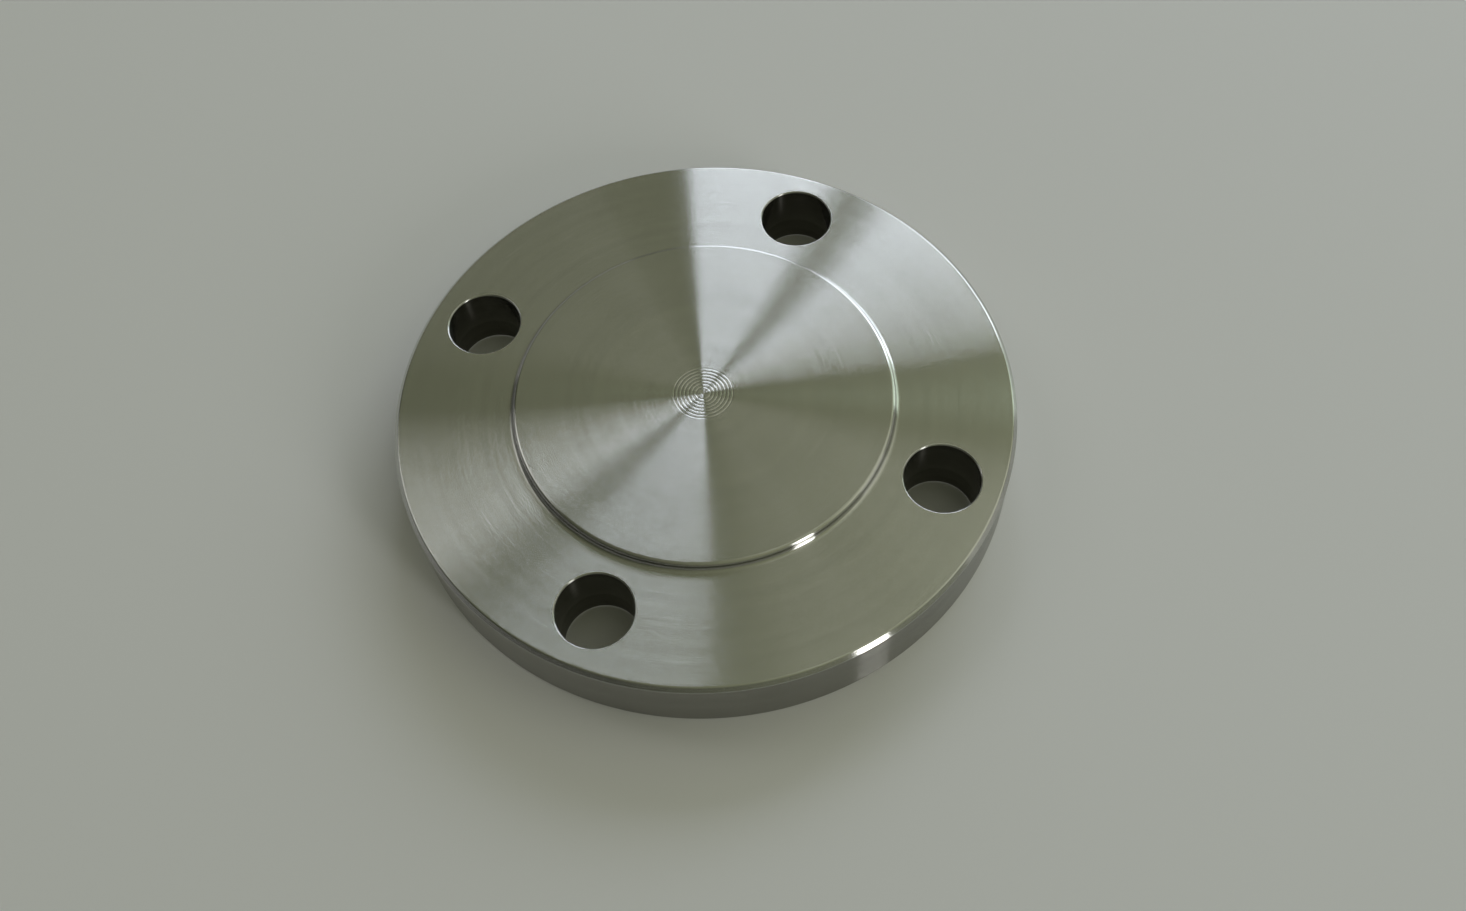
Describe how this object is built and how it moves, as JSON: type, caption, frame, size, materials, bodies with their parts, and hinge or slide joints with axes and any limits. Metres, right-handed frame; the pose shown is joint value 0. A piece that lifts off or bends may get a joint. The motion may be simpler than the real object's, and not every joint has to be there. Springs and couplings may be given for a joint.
{
  "type": "blind flange",
  "caption": "Round blind flange in turned stainless steel, with a raised gasket face, a closed centre and a circle of through bolt holes; it closes a pipe end.",
  "frame": {"origin": "centre of the flat back face, on which the flange lies", "axes": "+Z along the flange's axis, out of the raised face; +X and +Y are the centre lines that the bolt holes straddle"},
  "size_m": [0.15, 0.15, 0.0195],
  "materials": {
    "turned_steel": "fine turned stainless steel, concentric tool marks on the faces and round the rim"
  },
  "bodies": {
    "root": {"blind_flange": "turned_steel"}
  },
  "joints": []
}
